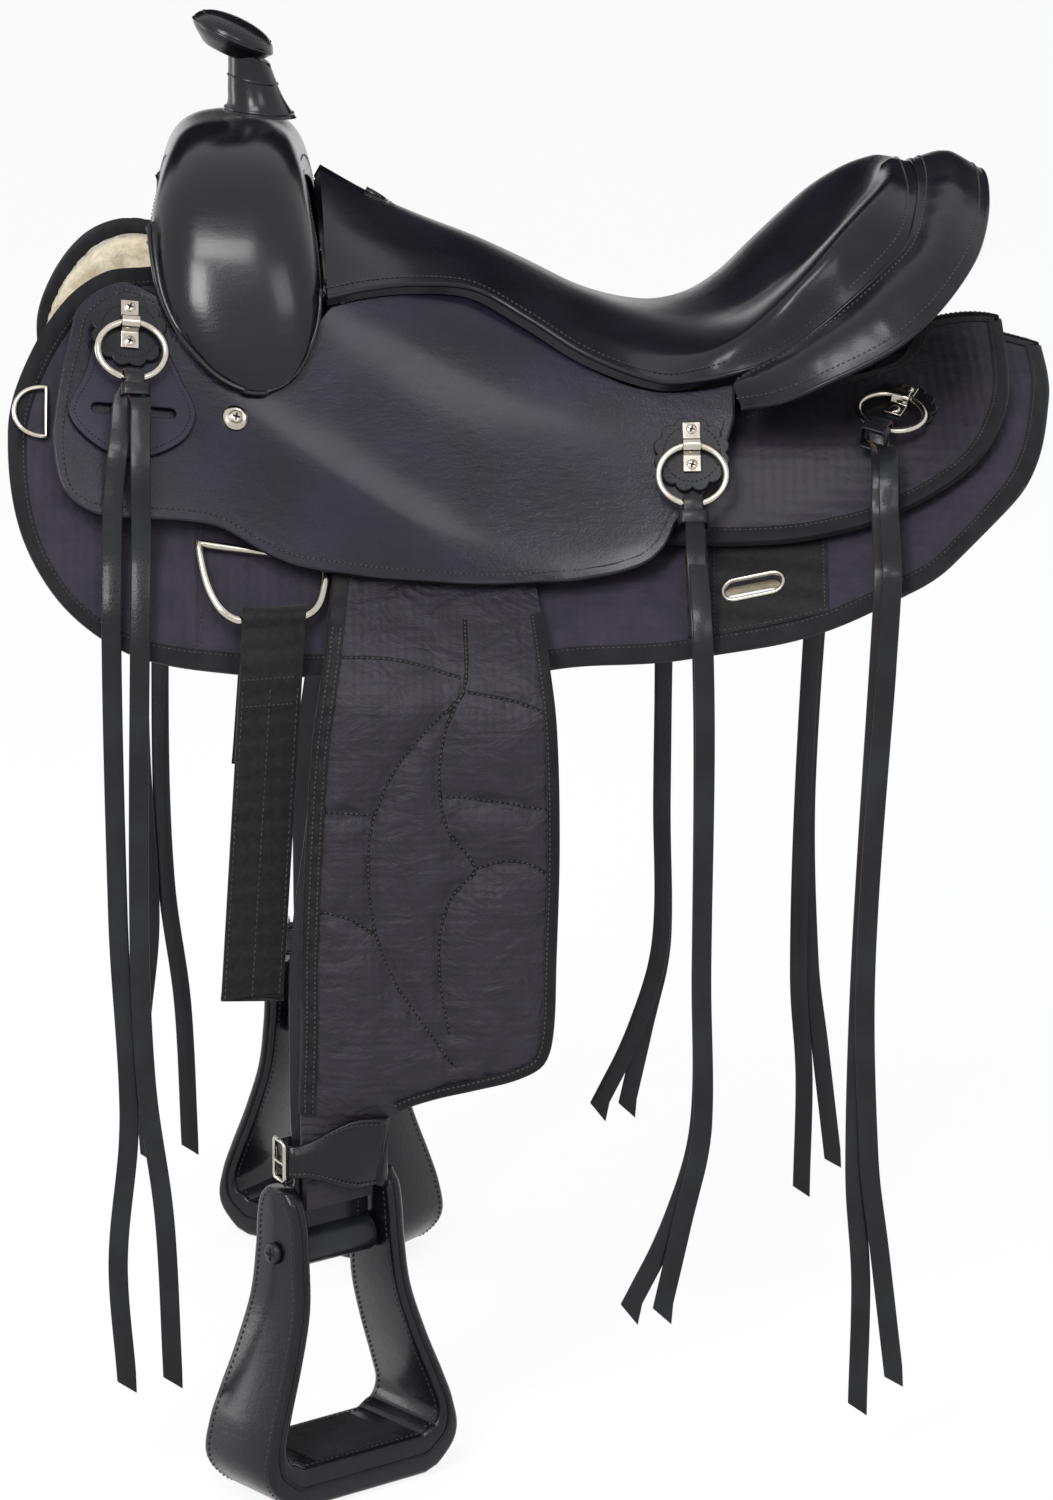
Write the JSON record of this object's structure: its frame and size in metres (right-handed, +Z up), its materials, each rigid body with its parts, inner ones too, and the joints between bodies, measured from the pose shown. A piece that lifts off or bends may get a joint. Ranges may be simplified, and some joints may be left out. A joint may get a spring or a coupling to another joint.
{
  "type": "trail saddle",
  "caption": "Western trail saddle with swell fork, horn, rolled cantle, fleece-lined skirts, padded fenders, bell stirrups, rings and hanging strings",
  "frame": {"origin": "On the middle plane, on the ridge line of the horse's back under the seat, at mount saddle_rack", "axes": "+X to the rear of the saddle, with the horn towards -X; near side (left) at -Y; +Z up"},
  "size_m": [0.699, 0.6532, 0.9598],
  "materials": {
    "cantle_roll": "smooth black leather",
    "horn_cap": "smooth black leather",
    "horn_neck": "smooth black leather",
    "latigo": "black woven nylon",
    "latigo_keeper": "smooth black leather",
    "left_breast_dee": "nickel plated",
    "left_fender": "black woven nylon",
    "left_fleece": "cream woolly fleece",
    "left_front_clip": "nickel plated",
    "left_front_ring": "nickel plated",
    "left_front_rosette": "smooth black leather",
    "left_front_string": "smooth black leather",
    "left_hobble_strap": "smooth black leather",
    "left_jockey_screw": "nickel plated",
    "left_leather_hanger": "smooth black leather",
    "left_middle_clip": "nickel plated",
    "left_middle_ring": "nickel plated",
    "left_middle_rosette": "smooth black leather",
    "left_middle_string": "smooth black leather",
    "left_rear_clip": "nickel plated",
    "left_rear_jockey": "black woven nylon",
    "left_rear_ring": "nickel plated",
    "left_rear_rosette": "smooth black leather",
    "left_rear_string": "smooth black leather",
    "left_rigging_dee": "nickel plated",
    "left_seat_jockey": "smooth black leather",
    "left_skirt": "black woven nylon",
    "left_stirrup": "smooth black leather",
    "left_stirrup_bolt": "nickel plated",
    "left_stirrup_leather": "smooth black leather",
    "off_billet": "black woven nylon",
    "right_breast_dee": "nickel plated",
    "right_fender": "black woven nylon",
    "right_fleece": "cream woolly fleece",
    "right_front_clip": "nickel plated",
    "right_front_ring": "nickel plated",
    "right_front_rosette": "smooth black leather",
    "right_front_string": "smooth black leather",
    "right_hobble_strap": "smooth black leather",
    "right_jockey_screw": "nickel plated",
    "right_leather_hanger": "smooth black leather",
    "right_middle_clip": "nickel plated",
    "right_middle_ring": "nickel plated",
    "right_middle_rosette": "smooth black leather",
    "right_middle_string": "smooth black leather",
    "right_rear_clip": "nickel plated",
    "right_rear_jockey": "black woven nylon",
    "right_rear_ring": "nickel plated",
    "right_rear_rosette": "smooth black leather",
    "right_rear_string": "smooth black leather",
    "right_rigging_dee": "nickel plated",
    "right_seat_jockey": "smooth black leather",
    "right_skirt": "black woven nylon",
    "right_stirrup": "smooth black leather",
    "right_stirrup_bolt": "nickel plated",
    "right_stirrup_leather": "smooth black leather",
    "seat": "smooth black leather",
    "swell_cover": "smooth black leather",
    "tree": "dark moulded plastic"
  },
  "bodies": {
    "saddle": {"cantle_roll": "cantle_roll", "horn_cap": "horn_cap", "horn_neck": "horn_neck", "latigo_keeper": "latigo_keeper", "left_fleece": "left_fleece", "left_front_clip": "left_front_clip", "left_front_rosette": "left_front_rosette", "left_jockey_screw": "left_jockey_screw", "left_middle_clip": "left_middle_clip", "left_middle_rosette": "left_middle_rosette", "left_rear_clip": "left_rear_clip", "left_rear_jockey": "left_rear_jockey", "left_rear_rosette": "left_rear_rosette", "left_seat_jockey": "left_seat_jockey", "left_skirt": "left_skirt", "right_fleece": "right_fleece", "right_front_clip": "right_front_clip", "right_front_rosette": "right_front_rosette", "right_jockey_screw": "right_jockey_screw", "right_middle_clip": "right_middle_clip", "right_middle_rosette": "right_middle_rosette", "right_rear_clip": "right_rear_clip", "right_rear_jockey": "right_rear_jockey", "right_rear_rosette": "right_rear_rosette", "right_seat_jockey": "right_seat_jockey", "right_skirt": "right_skirt", "seat": "seat", "swell_cover": "swell_cover", "tree": "tree"},
    "left_hanger": {"left_leather_hanger": "left_leather_hanger"},
    "left_fender": {"left_fender": "left_fender", "left_stirrup_leather": "left_stirrup_leather", "left_hobble_strap": "left_hobble_strap"},
    "left_stirrup": {"left_stirrup": "left_stirrup", "left_stirrup_bolt": "left_stirrup_bolt"},
    "left_front_ring": {"left_front_ring": "left_front_ring"},
    "left_front_string": {"left_front_string": "left_front_string"},
    "left_middle_ring": {"left_middle_ring": "left_middle_ring"},
    "left_middle_string": {"left_middle_string": "left_middle_string"},
    "left_rear_ring": {"left_rear_ring": "left_rear_ring"},
    "left_rear_string": {"left_rear_string": "left_rear_string"},
    "left_rigging": {"left_rigging_dee": "left_rigging_dee", "latigo": "latigo"},
    "left_breast_dee": {"left_breast_dee": "left_breast_dee"},
    "right_hanger": {"right_leather_hanger": "right_leather_hanger"},
    "right_fender": {"right_fender": "right_fender", "right_stirrup_leather": "right_stirrup_leather", "right_hobble_strap": "right_hobble_strap"},
    "right_stirrup": {"right_stirrup": "right_stirrup", "right_stirrup_bolt": "right_stirrup_bolt"},
    "right_front_ring": {"right_front_ring": "right_front_ring"},
    "right_front_string": {"right_front_string": "right_front_string"},
    "right_middle_ring": {"right_middle_ring": "right_middle_ring"},
    "right_middle_string": {"right_middle_string": "right_middle_string"},
    "right_rear_ring": {"right_rear_ring": "right_rear_ring"},
    "right_rear_string": {"right_rear_string": "right_rear_string"},
    "right_rigging": {"right_rigging_dee": "right_rigging_dee", "off_billet": "off_billet"},
    "right_breast_dee": {"right_breast_dee": "right_breast_dee"}
  },
  "joints": [
    {"name": "left_fender_swing", "type": "hinge", "parent": "saddle", "child": "left_hanger", "pos_m": [-0.105, -0.19691, -0.08667], "axis": [0, -0.8067, 0.5909], "range_deg": [0, 3]},
    {"name": "left_fender_lift", "type": "hinge", "parent": "left_hanger", "child": "left_fender", "pos_m": [-0.105, -0.19691, -0.08667], "axis": [-1, 0, 0], "range_deg": [0, 12]},
    {"name": "left_stirrup_turn", "type": "hinge", "parent": "left_fender", "child": "left_stirrup", "pos_m": [-0.14, -0.2507, -0.533], "axis": [0.7986, 0.6018, 0], "range_deg": [-35, 35]},
    {"name": "left_front_ring_lift", "type": "hinge", "parent": "saddle", "child": "left_front_ring", "pos_m": [-0.26559, -0.17026, 0.0737], "axis": [-0.9779, -0.1933, 0.0793], "range_deg": [0, 100]},
    {"name": "left_front_string_hang", "type": "hinge", "parent": "left_front_ring", "child": "left_front_string", "pos_m": [-0.2637, -0.19348, 0.04045], "axis": [-0.9779, -0.1933, 0.0793], "range_deg": [-100, 0]},
    {"name": "left_middle_ring_lift", "type": "hinge", "parent": "saddle", "child": "left_middle_ring", "pos_m": [0.10388, -0.16362, -0.01241], "axis": [-0.9996, 0.0269, -0.0078], "range_deg": [0, 100]},
    {"name": "left_middle_string_hang", "type": "hinge", "parent": "left_middle_ring", "child": "left_middle_string", "pos_m": [0.10365, -0.18289, -0.04814], "axis": [-0.9996, 0.0269, -0.0078], "range_deg": [-100, 0]},
    {"name": "left_rear_ring_lift", "type": "hinge", "parent": "saddle", "child": "left_rear_ring", "pos_m": [0.24712, -0.12296, 0.01233], "axis": [-0.9007, 0.3753, 0.2188], "range_deg": [0, 50]},
    {"name": "left_rear_string_hang", "type": "hinge", "parent": "left_rear_ring", "child": "left_rear_string", "pos_m": [0.22955, -0.1561, -0.0032], "axis": [-0.9007, 0.3753, 0.2188], "range_deg": [-50, 0]},
    {"name": "left_rigging_lift", "type": "hinge", "parent": "saddle", "child": "left_rigging", "pos_m": [-0.18166, -0.21152, -0.07222], "axis": [-0.9707, -0.1529, 0.1856], "range_deg": [0, 8]},
    {"name": "left_breast_dee_lift", "type": "hinge", "parent": "saddle", "child": "left_breast_dee", "pos_m": [-0.321, -0.18968, 0.01795], "axis": [0, 0.5021, 0.8648], "range_deg": [0, 60]},
    {"name": "right_fender_swing", "type": "hinge", "parent": "saddle", "child": "right_hanger", "pos_m": [-0.105, 0.19691, -0.08667], "axis": [0, -0.8067, -0.5909], "range_deg": [0, 3]},
    {"name": "right_fender_lift", "type": "hinge", "parent": "right_hanger", "child": "right_fender", "pos_m": [-0.105, 0.19691, -0.08667], "axis": [1, 0, 0], "range_deg": [0, 12]},
    {"name": "right_stirrup_turn", "type": "hinge", "parent": "right_fender", "child": "right_stirrup", "pos_m": [-0.14, 0.2507, -0.533], "axis": [0.7986, -0.6018, 0], "range_deg": [-35, 35]},
    {"name": "right_front_ring_lift", "type": "hinge", "parent": "saddle", "child": "right_front_ring", "pos_m": [-0.26559, 0.16698, 0.07109], "axis": [0.978, -0.1931, -0.079], "range_deg": [0, 100]},
    {"name": "right_front_string_hang", "type": "hinge", "parent": "right_front_ring", "child": "right_front_string", "pos_m": [-0.2637, 0.19019, 0.03783], "axis": [0.978, -0.1931, -0.079], "range_deg": [-100, 0]},
    {"name": "right_middle_ring_lift", "type": "hinge", "parent": "saddle", "child": "right_middle_ring", "pos_m": [0.10388, 0.16362, -0.01241], "axis": [0.9996, 0.0269, 0.0078], "range_deg": [0, 100]},
    {"name": "right_middle_string_hang", "type": "hinge", "parent": "right_middle_ring", "child": "right_middle_string", "pos_m": [0.10365, 0.18289, -0.04814], "axis": [0.9996, 0.0269, 0.0078], "range_deg": [-100, 0]},
    {"name": "right_rear_ring_lift", "type": "hinge", "parent": "saddle", "child": "right_rear_ring", "pos_m": [0.24712, 0.12296, 0.01233], "axis": [0.9007, 0.3753, -0.2188], "range_deg": [0, 50]},
    {"name": "right_rear_string_hang", "type": "hinge", "parent": "right_rear_ring", "child": "right_rear_string", "pos_m": [0.22955, 0.1561, -0.0032], "axis": [0.9007, 0.3753, -0.2188], "range_deg": [-50, 0]},
    {"name": "right_rigging_lift", "type": "hinge", "parent": "saddle", "child": "right_rigging", "pos_m": [-0.18166, 0.21152, -0.07222], "axis": [0.9707, -0.1529, -0.1856], "range_deg": [0, 8]},
    {"name": "right_breast_dee_lift", "type": "hinge", "parent": "saddle", "child": "right_breast_dee", "pos_m": [-0.321, 0.18968, 0.01795], "axis": [0, 0.5021, -0.8648], "range_deg": [0, 60]}
  ],
  "couplings": [
    {"joint": "left_front_string_hang", "follows": "left_front_ring_lift", "ratio": -1},
    {"joint": "left_middle_string_hang", "follows": "left_middle_ring_lift", "ratio": -1},
    {"joint": "left_rear_string_hang", "follows": "left_rear_ring_lift", "ratio": -1},
    {"joint": "right_front_string_hang", "follows": "right_front_ring_lift", "ratio": -1},
    {"joint": "right_middle_string_hang", "follows": "right_middle_ring_lift", "ratio": -1},
    {"joint": "right_rear_string_hang", "follows": "right_rear_ring_lift", "ratio": -1}
  ]
}
